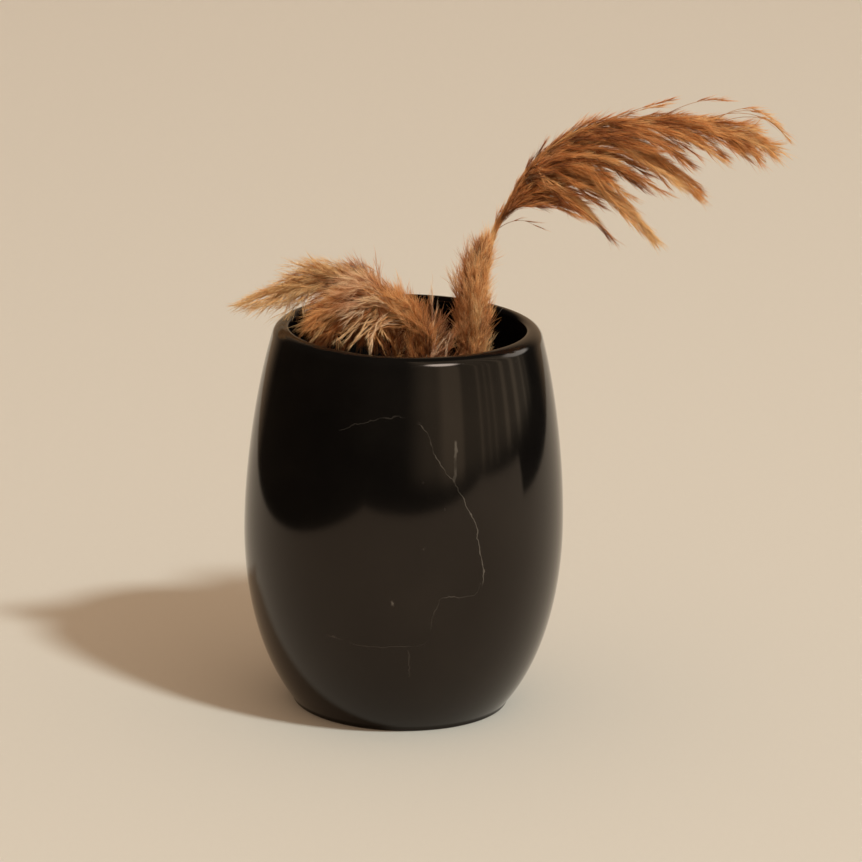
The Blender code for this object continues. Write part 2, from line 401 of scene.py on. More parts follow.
STONE_STOPS = (
    (0.30, (0.0035, 0.0032, 0.0030)),
    (0.55, (0.0062, 0.0056, 0.0050)),
    (0.75, (0.0100, 0.0086, 0.0072)),
)
VEIN_COLOUR = (0.50, 0.46, 0.40)
VEIN_WOBBLE = 0.0042
MM_PER_DEGREE = math.radians(BELLY_RADIUS - 3.0)
HAIRLINE_START = (84.0, 98.0)
HAIRLINE_STRENGTH = 0.34
SPECK_STRENGTH = 0.05
FLECK_PLACE = (-2.8, 57.6)
FLECK_STRENGTH = 0.18


def vein_mask(n, along, across, points, scale, width, strength):
    """How strongly one vein shows: across is compared with the line through the points."""
    low, high = points[0][0], points[-1][0]
    values = [value for place, value in points]
    bottom, top = min(values) - 1.0, max(values) + 1.0
    factor = n.add(
        "ShaderNodeMapRange", {"Value": along, "From Min": low, "From Max": high}
    ).outputs["Result"]
    node = n.add("ShaderNodeFloatCurve", {"Value": factor})
    curve = node.mapping.curves[0]
    places = [((p - low) / (high - low), (v - bottom) / (top - bottom)) for p, v in points]
    curve.points[0].location = places[0]
    curve.points[1].location = places[-1]
    for place in places[1:-1]:
        curve.points.new(*place)
    node.mapping.update()
    line = n.math("MULTIPLY_ADD", node.outputs[0], top - bottom, bottom)
    gap = n.math("MULTIPLY", n.math("ABSOLUTE", n.math("SUBTRACT", across, line)), scale)
    body = n.math("SUBTRACT", 1.0, n.between(gap, width * 0.25, width))
    fade = (high - low) * 0.04
    inside = n.math(
        "MULTIPLY", n.between(along, low - fade, low + fade),
        n.math("SUBTRACT", 1.0, n.between(along, high - fade, high + fade)),
    )
    return n.math("MULTIPLY", n.math("MULTIPLY", body, inside), strength)


def noise(n, place, scale, detail, **more):
    inputs = {"Vector": place, "Scale": scale, "Detail": detail}
    inputs.update(more)
    return n.add("ShaderNodeTexNoise", inputs).outputs


def vector_math(n, operation, first, **inputs):
    node = n.add("ShaderNodeVectorMath", {0: first}, operation=operation)
    for key, value in inputs.items():
        socket = node.inputs[{"by": 1, "scale": "Scale"}[key]]
        if isinstance(value, bpy.types.NodeSocket):
            n.tree.links.new(value, socket)
        else:
            socket.default_value = value
    return node.outputs


def surface_place(n, place):
    """Degrees to the right of the front and height in millimetres, with a fine wobble."""
    jitter = noise(n, place, 150.0, 3.0, Roughness=0.62)["Color"]
    jitter = vector_math(n, "SUBTRACT", jitter, by=(0.5, 0.5, 0.5))[0]
    jitter = vector_math(n, "SCALE", jitter, scale=VEIN_WOBBLE)[0]
    moved = vector_math(n, "ADD", jitter, by=place)[0]
    axes = n.add("ShaderNodeSeparateXYZ", {0: moved}).outputs
    degrees = n.math(
        "MULTIPLY", n.math("ARCTAN2", axes["X"], n.math("MULTIPLY", axes["Y"], -1.0)), 180 / math.pi
    )
    return degrees, n.math("MULTIPLY", axes["Z"], 1000.0)


def front_veins(n, place, degrees, height):
    """The named veins, broken up here and there."""
    masks = []
    for points, width, strength in TALL_VEINS:
        swapped = [(z, angle) for angle, z in points]
        masks.append(vein_mask(n, height, degrees, swapped, MM_PER_DEGREE, width, strength))
    for points, width, strength in FLAT_VEINS:
        masks.append(vein_mask(n, degrees, height, points, 1.0, width, strength))
    veins = masks[0]
    for mask in masks[1:]:
        veins = n.math("MAXIMUM", veins, mask)
    breaks = noise(n, place, 95.0, 2.0)[0]
    return n.math("MULTIPLY", veins, n.between(breaks, 0.30, 0.58))


def back_hairlines(n, place, degrees, bend):
    """Other hairlines of the block: sparse cell borders, kept off the front."""
    bent = vector_math(n, "SCALE", bend, scale=0.035)[0]
    bent = vector_math(n, "ADD", bent, by=place)[0]
    cells = n.add(
        "ShaderNodeTexVoronoi", {"Vector": bent, "Scale": 11.0}, feature="DISTANCE_TO_EDGE"
    ).outputs["Distance"]
    hair = n.math("SUBTRACT", 1.0, n.between(cells, 0.0010, 0.0038))
    patch = noise(n, place, 17.0, 1.0)[0]
    hair = n.math("MULTIPLY", hair, n.between(patch, 0.50, 0.62))
    aside = n.between(n.math("ABSOLUTE", degrees), *HAIRLINE_START)
    return n.math("MULTIPLY", n.math("MULTIPLY", hair, aside), HAIRLINE_STRENGTH)


def specks(n, place):
    """Very small faint flecks all over the stone."""
    spots = n.add("ShaderNodeTexVoronoi", {"Vector": place, "Scale": 120.0}).outputs
    speck = n.math("SUBTRACT", 1.0, n.between(spots["Distance"], 0.03, 0.07))
    kind = n.add("ShaderNodeSeparateColor", {0: spots["Color"]}).outputs[0]
    return n.math("MULTIPLY", speck, n.math("MULTIPLY", n.between(kind, 0.80, 0.98), SPECK_STRENGTH))


def fleck(n, degrees, height):
    """One larger pale fleck on the front."""
    angle, z = FLECK_PLACE
    aside = n.math("MULTIPLY", n.math("SUBTRACT", degrees, angle), MM_PER_DEGREE)
    above = n.math("MULTIPLY", n.math("SUBTRACT", height, z), 0.6)
    apart = n.add("ShaderNodeCombineXYZ", {0: aside, 1: above}).outputs[0]
    apart = vector_math(n, "LENGTH", apart)["Value"]
    return n.math("MULTIPLY", n.math("SUBTRACT", 1.0, n.between(apart, 0.15, 0.95)), FLECK_STRENGTH)


def stone_material():
    material = bpy.data.materials.new("black_stone")
    material.use_nodes = True
    tree = material.node_tree
    n = Nodes(tree)
    shader = tree.nodes["Principled BSDF"]
    place = n.add("ShaderNodeTexCoord").outputs["Object"]
    coarse = noise(n, place, 26.0, 5.0)
    fine = noise(n, place, 420.0, 4.0)[0]
    degrees, height = surface_place(n, place)
    vein = n.math(
        "MAXIMUM", front_veins(n, place, degrees, height),
        back_hairlines(n, place, degrees, coarse["Color"]),
    )
    vein = n.math("MAXIMUM", vein, specks(n, place))
    vein = n.math("MAXIMUM", vein, fleck(n, degrees, height))
    colour = n.mix(vein, n.ramp(coarse[0], STONE_STOPS), VEIN_COLOUR)
    tree.links.new(colour, shader.inputs["Base Color"])
    rough = n.math("MULTIPLY_ADD", fine, 0.04, 0.075)
    rough = n.math("MULTIPLY_ADD", vein, 0.15, rough)
    tree.links.new(rough, shader.inputs["Roughness"])
    shader.inputs["IOR"].default_value = 1.42
    shader.inputs["Specular Tint"].default_value = (1.0, 0.84, 0.74, 1.0)
    wave = noise(n, place, 22.0, 1.0)[0]
    relief = n.math("MULTIPLY_ADD", fine, 0.015, wave)
    bump = n.add("ShaderNodeBump", {"Height": relief, "Strength": 0.10, "Distance": 0.0006})
    tree.links.new(bump.outputs["Normal"], shader.inputs["Normal"])
    return material


# ---------------------------------------------------------------- dried reeds


def smooth_path(points, count):
    """A Catmull-Rom curve through the points, with the same number of steps between each two."""
    points = np.array(points, float)
    padded = np.vstack([2 * points[0] - points[1], points, 2 * points[-1] - points[-2]])
    path = [points[0]]
    for i in range(len(points) - 1):
        a, b, c, d = padded[i:i + 4]
        for t in np.linspace(0.0, 1.0, count + 1)[1:]:
            path.append(0.5 * (
                2 * b + (c - a) * t + (2 * a - 5 * b + 4 * c - d) * t ** 2
                + (3 * b - a - 3 * c + d) * t ** 3
            ))
    return np.array(path)


def unit(v):
    return v / np.maximum(np.linalg.norm(v, axis=-1, keepdims=True), 1e-9)


# Where along a needle its two rings stand and how full they are, and the corners of a ring.
NEEDLE_RINGS = ((0.28, 1.0), (0.66, 0.72))
NEEDLE_CORNERS = (0.0, 2.0944, 4.1888)


class Strands:
    """Gathers closed strands of one piece as arrays of points, triangles, tone, ash (in places painted
    shade) and slot.
    """

    def __init__(self):
        self.points = []
        self.faces = []
        self.tones = []
        self.ash_and_shade_values = []
        self.slots = []
        self.ash_and_shade = 0.0
        self.count = 0

    def _keep(self, points, faces, tones, slot):
        self.points.append(points)
        self.faces.append(faces + self.count)
        self.tones.append(tones)
        self.ash_and_shade_values.append(np.full(len(points), self.ash_and_shade))
        self.slots.append(np.full(len(faces), slot))
        self.count += len(points)

    def needles(self, base, mid, tip, radius, flat, tone_low, tone_high, slot, rng):
        """Slim closed blades, pointed at both ends, along a bend from base by mid to tip."""
        n = len(base)
        heading = unit(tip - base)
        helper = unit(rng.normal(size=(n, 3)))
        across = unit(np.cross(heading, helper))
        over = np.cross(heading, across)
        rows = [base[:, None]]
        tones = [np.asarray(tone_low)[:, None]]
        for t, swell in NEEDLE_RINGS:
            centre = (1 - t) ** 2 * base + 2 * t * (1 - t) * mid + t * t * tip
            ring = []
            for angle in NEEDLE_CORNERS:
                ring.append(
                    centre
                    + across * (radius * swell * math.cos(angle))[:, None]
                    + over * (radius * swell * flat * math.sin(angle))[:, None]
                )
            rows.append(np.stack(ring, axis=1))
            tones.append(np.repeat((tone_low + (tone_high - tone_low) * t)[:, None], 3, axis=1))
        rows.append(tip[:, None])
        tones.append(np.asarray(tone_high)[:, None])
        points = np.concatenate(rows, axis=1).reshape(-1, 3)
        pattern = []
        for k in range(3):
            m = (k + 1) % 3
            pattern += [
                (0, 1 + m, 1 + k),
                (1 + k, 1 + m, 4 + m),
                (1 + k, 4 + m, 4 + k),
                (4 + k, 4 + m, 7),
            ]
        faces = (np.array(pattern)[None] + 8 * np.arange(n)[:, None, None]).reshape(-1, 3)
        self._keep(points, faces, np.concatenate(tones, axis=1).reshape(-1), slot)

    def tube(self, path, radii, sides, tone, slot):
        """A closed round tube along a path."""
        ways = unit(np.gradient(path, axis=0))
        side = unit(np.cross(ways[0], (0.31, 0.95, 0.05)))
        rings = []
        for p, way, radius in zip(path, ways, radii):
            side = unit(side - way * np.dot(side, way))
            over = np.cross(way, side)
            angles = np.linspace(0.0, 2 * math.pi, sides, endpoint=False)[:, None]
            rings.append(p + radius * (np.cos(angles) * side + np.sin(angles) * over))
        points = np.vstack(rings + [path[:1], path[-1:]])
        faces = []
        last = (len(path) - 1) * sides
        for k in range(sides):
            m = (k + 1) % sides
            for row in range(len(path) - 1):
                a, b = row * sides + k, row * sides + m
                faces += [(a, b, b + sides), (a, b + sides, a + sides)]
            faces.append((k, len(points) - 2, m))
            faces.append((last + m, len(points) - 1, last + k))
        self._keep(points, np.array(faces), np.full(len(points), tone), slot)

    def make(self, name, body, nodes, materials, slot_name):
        points = np.vstack(self.points) * MM
        faces = np.vstack(self.faces)
        mesh = bpy.data.meshes.new(name)
        mesh.vertices.add(len(points))
        mesh.vertices.foreach_set("co", points.astype(np.float32).ravel())
        mesh.loops.add(len(faces) * 3)
        mesh.loops.foreach_set("vertex_index", faces.astype(np.int32).ravel())
        mesh.polygons.add(len(faces))
        mesh.polygons.foreach_set("loop_start", np.arange(0, len(faces) * 3, 3, dtype=np.int32))
        mesh.polygons.foreach_set("loop_total", np.full(len(faces), 3, dtype=np.int32))
        mesh.polygons.foreach_set("material_index", np.concatenate(self.slots).astype(np.int32))
        mesh.polygons.foreach_set("use_smooth", np.ones(len(faces), dtype=bool))
        mesh.update(calc_edges=True)
        for label, values in (("tone", self.tones), ("ash_and_shade", self.ash_and_shade_values)):
            layer = mesh.attributes.new(label, "FLOAT", "POINT")
            layer.data.foreach_set("value", np.concatenate(values).astype(np.float32))
        for material in materials:
            mesh.materials.append(material)
        piece = bpy.data.objects.new(name, mesh)
        SCENE.collection.objects.link(piece)
        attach(piece, body)
        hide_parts(*nodes)
        return piece


# The colours of dead, greyish parts, in some places mixed in as painted shade, and how far single
# strands and soft patches differ.
ASH_AND_SHADE_STOPS = (
    (0.00, (0.110, 0.050, 0.042)),
    (0.40, (0.440, 0.220, 0.165)),
    (0.75, (0.800, 0.500, 0.370)),
    (1.00, (0.950, 0.780, 0.620)),
)
STRAND_VARIETY = 0.16
PATCH_VARIETY = 0.70
SHEEN_TINT = (1.0, 0.66, 0.37, 1.0)


def plant_material(name, stops, roughness, sheen):
    """Dry plant matter: tone from root to tip, from strand to strand and in soft patches."""
    material = bpy.data.materials.new(name)
    material.use_nodes = True
    tree = material.node_tree
    n = Nodes(tree)
    shader = tree.nodes["Principled BSDF"]
    place = n.add("ShaderNodeTexCoord").outputs["Object"]
    tone = n.add("ShaderNodeAttribute", attribute_name="tone").outputs["Fac"]
    patch = noise(n, place, 95.0, 2.0)[0]
    own = n.add("ShaderNodeNewGeometry").outputs["Random Per Island"]
    mixed = n.math("MULTIPLY_ADD", n.math("SUBTRACT", own, 0.5), STRAND_VARIETY, tone)
    mixed = n.math("MULTIPLY_ADD", n.math("SUBTRACT", patch, 0.5), PATCH_VARIETY, mixed)
    # The ash value mixes in the greyer colours: dead, ashen parts, and painted shade in some places,
    # such as the upright reed's side away from the key light.
    ash_and_shade = n.add("ShaderNodeAttribute", attribute_name="ash_and_shade").outputs["Fac"]
    colour = n.mix(ash_and_shade, n.ramp(mixed, stops), n.ramp(mixed, ASH_AND_SHADE_STOPS))
    tree.links.new(colour, shader.inputs["Base Color"])
    rough = n.math("MULTIPLY_ADD", own, 0.15, roughness)
    tree.links.new(rough, shader.inputs["Roughness"])
    shader.inputs["Specular IOR Level"].default_value = 0.15
    shader.inputs["Sheen Weight"].default_value = sheen
    shader.inputs["Sheen Roughness"].default_value = 0.4
    shader.inputs["Sheen Tint"].default_value = SHEEN_TINT
    return material


BRACT, HAIR, STALK = 0, 1, 2
BRACT_STOPS = (
    (0.00, (0.098, 0.023, 0.008)),
    (0.25, (0.300, 0.082, 0.023)),
    (0.50, (0.660, 0.228, 0.062)),
    (0.75, (0.925, 0.475, 0.170)),
    (1.00, (0.985, 0.625, 0.280)),
)
HAIR_STOPS = (
    (0.00, (0.110, 0.027, 0.009)),
    (0.28, (0.440, 0.147, 0.048)),
    (0.58, (0.885, 0.425, 0.148)),
    (1.00, (0.990, 0.690, 0.350)),
)
STALK_STOPS = (
    (0.00, (0.130, 0.050, 0.020)),
    (0.50, (0.480, 0.230, 0.085)),
    (1.00, (0.760, 0.480, 0.220)),
)


def reed_materials():
    """In the order of BRACT, HAIR and STALK."""
    return [
        plant_material("reed_bract", BRACT_STOPS, 0.58, 0.34),
        plant_material("reed_hair", HAIR_STOPS, 0.55, 0.62),
        plant_material("reed_stalk", STALK_STOPS, 0.50, 0.04),
    ]


def along(path, share):
    """The point and the direction a share of the way along a path, by its count of points."""
    where = share * (len(path) - 1)
    i = int(min(where, len(path) - 2))
    point = path[i] + (path[i + 1] - path[i]) * (where - i)
    return point, unit(path[min(i + 2, len(path) - 1)] - path[max(i - 1, 0)])


# How much branches differ in tone and ash, how much lighter a branch gets toward its end, and
# a bract or a hair toward its tip.
TONE_SCATTER = 0.16
ASH_SCATTER = 0.04
BRANCH_RISE = 0.28
BRACT_RISE = 0.26
HAIR_RISE = 0.32


def add_branch(strands, path, rng, look, tone, ash_and_shade=0.0):
    """One branch: a thin stalk with spikelets, each a few staggered bracts and silky hairs."""
    length = np.linalg.norm(np.diff(path, axis=0), axis=1).sum()
    strands.ash_and_shade = float(np.clip(ash_and_shade + rng.normal(scale=ASH_SCATTER), 0.0, 0.9))
    strands.tube(path, np.linspace(look["stalk"], 0.06, len(path)), 4, tone + 0.2, STALK)
    bare = look["bare"]
    count = max(3, int(length * (1 - bare) / look["spacing"]))
    shares = bare + (1 - bare) * (np.arange(count) + rng.uniform(0, 0.9, count)) / count
    where = np.minimum(shares, 1.0) * (len(path) - 1)
    index = np.minimum(where.astype(int), len(path) - 2)
    base = path[index] + (path[index + 1] - path[index]) * (where - index)[:, None]
    way = unit(path[index + 1] - path[index])
    sideways = unit(np.cross(way, unit(rng.normal(size=(count, 3)))))
    lean = rng.uniform(0.35, 1.0, count)[:, None] * look["opening"]
    heading = unit(way + sideways * lean)
    size = look["spikelet"] * rng.uniform(0.75, 1.15, count)
    tones = tone + rng.normal(scale=TONE_SCATTER) + BRANCH_RISE * shares
    tones += rng.uniform(-0.06, 0.06, count)
    for k in range(look["bracts"]):
        start = base + heading * (size * 0.16 * k)[:, None]
        turn = unit(heading + rng.normal(scale=0.07, size=(count, 3)))
        reach = size * (0.60 + 0.10 * k)
        tip = start + turn * reach[:, None]
        mid = (start + tip) / 2 + sideways * (reach * 0.04)[:, None]
        girth = np.full(count, look["girth"])
        strands.needles(start, mid, tip, girth, 0.6, tones, tones + BRACT_RISE, BRACT, rng)
    hairs = look["hairs"]
    total = count * hairs
    base, heading, size, tones = (np.repeat(a, hairs, axis=0) for a in (base, heading, size, tones))
    start = base + heading * (size * rng.uniform(0.0, 0.5, total))[:, None]
    turn = unit(heading + rng.normal(scale=look["fluff"], size=(total, 3)))
    reach = size * rng.uniform(0.5, 1.0, total)
    tip = start + turn * reach[:, None]
    mid = (start + tip) / 2 + rng.normal(scale=0.06, size=(total, 3)) * reach[:, None]
    girth = np.full(total, look["hair_girth"])
    strands.needles(start, mid, tip, girth, 1.0, tones + 0.04, tones + HAIR_RISE, HAIR, rng)


BRANCH_PULL = 0.36


def branch_path(start, way, end, end_way, steps=9):
    """A bend that leaves start along way and arrives at end along end_way."""
    pull = np.linalg.norm(end - start) * BRANCH_PULL
    return np.vstack([start[None], bezier(start, start + way * pull, end - end_way * pull, end, steps)])


def heading_of(degrees, y=0.0):
    """The direction that climbs by an angle from +X toward +Z, leaning by y toward the back."""
    angle = math.radians(degrees)
    return unit(np.array([math.cos(angle), y, math.sin(angle)]))


CULM_SIDES = 14
CULM_TONE = 0.5
JOINT_SWELLING = 0.22
JOINT_LENGTH = 1.2


def add_culm(name, spine, joints, taper, materials):
    """The stalk from its cut foot to the plume's tip, with swollen joints along the bare part.

    joints are lengths along it; taper is lengths and the radii there.
    """
    strands = Strands()
    path = smooth_path(spine, 8)
    lengths = np.concatenate([[0], np.cumsum(np.linalg.norm(np.diff(path, axis=0), axis=1))])
    radii = np.interp(lengths, *taper)
    for joint in joints:
        radii = radii * (1 + JOINT_SWELLING * np.exp(-((lengths - joint) / JOINT_LENGTH) ** 2))
    strands.tube(path, radii, CULM_SIDES, CULM_TONE, 0)
    strands.make(name + "_culm", name, [name + "_stem"], materials[STALK:], "reed_stem")


def plane_points(points, y):
    return [(x, y, z) for x, z in points]


# How the branches of a plume look, in millimetres: length and spacing of the spikelets, the
# bare share of the branch, bracts and hairs in a spikelet and their radii, how far spikelets
# open and hairs spread, how far the last spikelet reaches past the branch, stalk radius.
SILKY = {"spikelet": 9.0, "spacing": 1.5, "bare": 0.14, "bracts": 3, "girth": 0.15, "hairs": 7,
         "opening": 0.18, "fluff": 0.13, "overshoot": 8.0, "hair_girth": 0.055, "stalk": 0.20}
WISPY = {"spikelet": 7.0, "spacing": 2.6, "bare": 0.45, "bracts": 2, "girth": 0.15, "hairs": 3,
         "opening": 0.12, "fluff": 0.08, "overshoot": 6.0, "hair_girth": 0.055, "stalk": 0.13}
FLUFFY = {"spikelet": 8.6, "spacing": 1.8, "bare": 0.08, "bracts": 2, "girth": 0.15, "hairs": 10,
          "opening": 0.30, "fluff": 0.22, "overshoot": 7.0, "hair_girth": 0.058, "stalk": 0.20}
AIRY = {"spikelet": 8.6, "spacing": 2.2, "bare": 0.08, "bracts": 2, "girth": 0.15, "hairs": 6,
        "opening": 0.24, "fluff": 0.15, "overshoot": 7.0, "hair_girth": 0.060, "stalk": 0.18}
LOOSE = {"spikelet": 6.0, "spacing": 1.7, "bare": 0.20, "bracts": 2, "girth": 0.14, "hairs": 3,
         "opening": 0.13, "fluff": 0.09, "overshoot": 4.5, "hair_girth": 0.060, "stalk": 0.20}
FEATHERY = {"spikelet": 7.0, "spacing": 1.7, "bare": 0.58, "bracts": 2, "girth": 0.16, "hairs": 5,
            "opening": 0.16, "fluff": 0.10, "overshoot": 6.0, "hair_girth": 0.058, "stalk": 0.13}

# The line of each stalk as (x, z) in its upright plane, whose y stands after it; the head begins
# at the point counted by HEAD.
LONG_SPINE = (
    (12, 8.4), (16.6, 50), (21.4, 95), (26, 135), (29.6, 166), (32.0, 180), (35.0, 188),
    (38.5, 195), (42.5, 203.5), (48, 211), (55.5, 217.5), (64.5, 223), (75, 226.5), (86, 227.5),
    (98, 227), (109, 225), (119, 221.5), (128, 217), (136, 212),
)
LONG_HEAD = 5
LONG_PLANE = 22.0
LONG_JOINTS = (40.0, 92.0, 140.0)
LONG_TAPER = ((0, 160, 180, 230, 330), (2.15, 1.15, 0.85, 0.42, 0.15))
# Branch groups: share of the head where they start (low, high), where they end (x, z), the
# heading they end with in degrees, the spread of their ends, how many, which section, and tone.
LONG_GROUPS = (
    (0.02, 0.14, 50, 193.5, -4, 2.0, 6, 0, 0.12),
    (0.02, 0.16, 57, 192.5, -12, 2.0, 8, 0, 0.02),
    (0.04, 0.20, 65, 192.5, -24, 2.2, 8, 0, 0.04),
    (0.10, 0.26, 62, 199, -6, 2.5, 9, 0, -0.04),
    (0.12, 0.28, 72, 198.5, -20, 2.5, 9, 0, 0.08),
    (0.14, 0.30, 60, 206.5, 8, 2.5, 8, 0, 0.10),
    (0.18, 0.34, 70, 206, -8, 3.0, 9, 0, 0.04),
    (0.20, 0.36, 80, 202, -18, 2.5, 9, 1, 0.02),
    (0.10, 0.24, 73, 184.5, -44, 1.2, 4, 3, 0.24),
    (0.16, 0.22, 80.2, 175.5, -54, 0.5, 2, 3, 0.30),
    (0.10, 0.26, 68, 189.5, -32, 1.8, 6, 3, 0.08),
    (0.16, 0.32, 77, 194.5, -34, 2.0, 7, 4, 0.14),
    (0.18, 0.34, 87, 186.0, -46, 1.3, 5, 4, 0.36),
    (0.20, 0.34, 96.4, 176.4, -50, 0.8, 5, 4, 0.50),
    (0.16, 0.32, 70, 213, 4, 2.6, 8, 0, 0.08),
    (0.24, 0.40, 74, 220, 6, 2.0, 7, 1, 0.14),
    (0.24, 0.42, 91, 201, -32, 2.2, 9, 1, 0.10),
    (0.26, 0.44, 82, 211, -8, 2.8, 10, 1, 0.12),
    (0.30, 0.46, 96, 208.5, -26, 2.2, 8, 1, 0.30),
    (0.32, 0.46, 104, 202, -34, 1.6, 7, 5, 0.42),
    (0.34, 0.48, 114.2, 194.2, -38, 1.0, 6, 5, 0.54),
    (0.34, 0.46, 101, 196, -44, 0.8, 2, 5, 0.26),
    (0.34, 0.50, 86, 219.5, 0, 2.2, 9, 1, 0.14),
    (0.38, 0.54, 97, 217.5, -12, 2.4, 9, 1, 0.16),
    (0.42, 0.56, 110, 207.5, -38, 1.4, 4, 1, 0.16),
    (0.46, 0.60, 106, 217.5, -22, 2.2, 8, 2, 0.22),
    (0.50, 0.64, 114.5, 214.5, -32, 1.8, 8, 2, 0.16),
    (0.52, 0.64, 123.4, 210.2, -40, 0.9, 3, 2, 0.26),
    (0.56, 0.72, 118, 222, -24, 2.0, 7, 2, 0.30),
    (0.62, 0.76, 125, 217, -36, 1.6, 7, 2, 0.30),
    (0.66, 0.80, 130, 213.5, -44, 1.4, 7, 2, 0.26),
    (0.70, 0.84, 135.6, 210.0, -48, 1.0, 6, 2, 0.22),
    (0.74, 0.90, 141.6, 210.8, -46, 1.2, 7, 2, 0.44),
    (0.72, 0.88, 136, 218.5, -40, 1.3, 6, 2, 0.46),
)
# Thin single branches over the top of the head: start share, end, first and last heading. One
# more hangs below it: start share, end and last heading.
TOP_WISPS = (
    (0.50, 104.5, 236.4, 22, 14), (0.52, 101.5, 235.4, 22, 16), (0.66, 125.0, 235.4, 32, -4),
    (0.77, 146.6, 216.9, 46, -58), (0.80, 145.4, 218.6, 42, -56), (0.78, 142.6, 222.4, 44, -50),
    (0.79, 138.6, 226.6, 46, -42),
)
LONG_WEEPER = (0.02, 52.0, 183.0, -32)
LONG_COVER_BRANCHES = 56
LONG_NECK_BRANCHES = 20
LONG_SEED = 11
LONG_PIECES = (
    ("head_base", "plume_base"), ("head_middle", "plume_middle"), ("head_tip", "plume_tip"),
    ("tuft_a", "side_tuft_a"), ("tuft_b", "side_tuft_b"), ("tuft_c", "side_tuft_c"),
)


def add_group_branch(
    strands, plume, share, y, depth, target, tilt, rng, look, tone, ash_and_shade=0.0, first=None
):
    """A branch from a share of the plume to target (x, z), depth in front of or behind y."""
    start, way = along(plume, float(np.clip(share, 0.0, 1.0)))
    end_way = heading_of(tilt, depth * 0.012)
    end = np.array([target[0], y + depth, target[1]]) - end_way * look["overshoot"]
    if first is None:
        first = unit(way * 0.6 + unit(end - start) * 0.4 + np.array([0, depth * 0.02, 0]))
    add_branch(strands, branch_path(start, first, end, end_way), rng, look, tone, ash_and_shade)


def add_long_groups(parts, plume, rng):
    for low, high, x, z, tilt, spread, count, section, tone in LONG_GROUPS:
        for share in np.linspace(low, high, count):
            reach = 3.0 + 7.0 * math.sin(math.pi * min(1, 0.1 + share))
            depth = rng.uniform(-1.3, 0.7) * reach
            target = (
                x + rng.normal(scale=spread * 0.8), z + 0.8 + rng.normal(scale=spread * 0.8)
            )
            add_group_branch(
                parts[section], plume, share, LONG_PLANE, depth, target,
                tilt + rng.normal(scale=5), rng, SILKY, tone,
            )


def add_long_cover(parts, plume, rng):
    """Short branches pressed to the stalk, which hide it."""
    for share in np.linspace(0.10, 0.86, LONG_COVER_BRANCHES):
        end, way = along(plume, share + 0.11)
        depth = rng.uniform(-4.0, 4.0)
        target = (end[0] + 2.5, end[2] + rng.uniform(-5.0, 0.4))
        tilt = math.degrees(math.atan2(way[2], way[0])) - rng.uniform(4, 16)
        section = 0 if share < 0.34 else (1 if share < 0.58 else 2)
        add_group_branch(
            parts[section], plume, share, LONG_PLANE, depth, target, tilt, rng, SILKY, 0.18,
        )


def add_long_neck(strands, spine, rng):
    """The first branches leave the stalk low down and run up beside it."""
    neck = smooth_path(spine[LONG_HEAD - 2:LONG_HEAD + 4], 8)
    look = dict(WISPY, bare=0.1, spacing=3.2)
    for share in np.linspace(0.10, 0.66, LONG_NECK_BRANCHES):
        start, way = along(neck, share)
        later, later_way = along(neck, share + rng.uniform(0.20, 0.34))
        turn = rng.uniform(0, 2 * math.pi)
        out = unit(np.cross(later_way, (math.cos(turn), math.sin(turn), 0.3)))
        end = later + out * rng.uniform(0.8, 1.9)
        path = branch_path(start, unit(way + out * 0.12), end, later_way, 6)
        add_branch(strands, path, rng, look, 0.42)


def add_long_reed(materials):
    name = "long_reed"
    spine = plane_points(LONG_SPINE, LONG_PLANE)
    add_culm(name, spine, LONG_JOINTS, LONG_TAPER, materials)
    plume = smooth_path(spine[LONG_HEAD:], 10)
    parts = [Strands() for _ in LONG_PIECES]
    rng = np.random.default_rng(LONG_SEED)
    add_long_groups(parts, plume, rng)
    add_long_cover(parts, plume, rng)
    add_long_neck(parts[0], spine, rng)
    for share, x, z, first, tilt in TOP_WISPS:
        depth = rng.uniform(-3, 3)
        add_group_branch(
            parts[2], plume, share, LONG_PLANE, depth, (x, z), tilt, rng, FEATHERY, 0.34,
            first=heading_of(first),
        )
    share, x, z, tilt = LONG_WEEPER
    add_group_branch(parts[0], plume, share, LONG_PLANE, -3.0, (x, z), tilt, rng, WISPY, 0.16)
    for strands, (label, member) in zip(parts, LONG_PIECES):
        strands.make(f"{name}_{label}", name, [f"{name}_{member}"], materials, "reed_plume")


UPRIGHT_SPINE = (
    (14, 8.4), (18, 50), (22, 92), (24.6, 118), (25.3, 136), (24.4, 152), (24.9, 163), (27.2, 176),
)
UPRIGHT_HEAD = 3
UPRIGHT_PLANE = 0.0
UPRIGHT_JOINTS = (46.0, 96.0)
UPRIGHT_TAPER = ((0, 110, 170), (2.35, 1.9, 0.35))
# Half width of the head over height, and how far its branches rise over the share where they
# start.
UPRIGHT_WIDTH = ((118, 136, 150, 162, 172, 181, 189), (5.5, 7.0, 8.0, 9.3, 7.2, 4.0, 1.0))
UPRIGHT_RISE = ((0.0, 0.6, 1.0), (20.0, 16.0, 6.5))
UPRIGHT_BRANCHES = 150
UPRIGHT_SEED = 23
UPRIGHT_PIECES = (("head_lower", "plume_lower"), ("head_upper", "plume_upper"))
GOLDEN_ANGLE = 2.39996


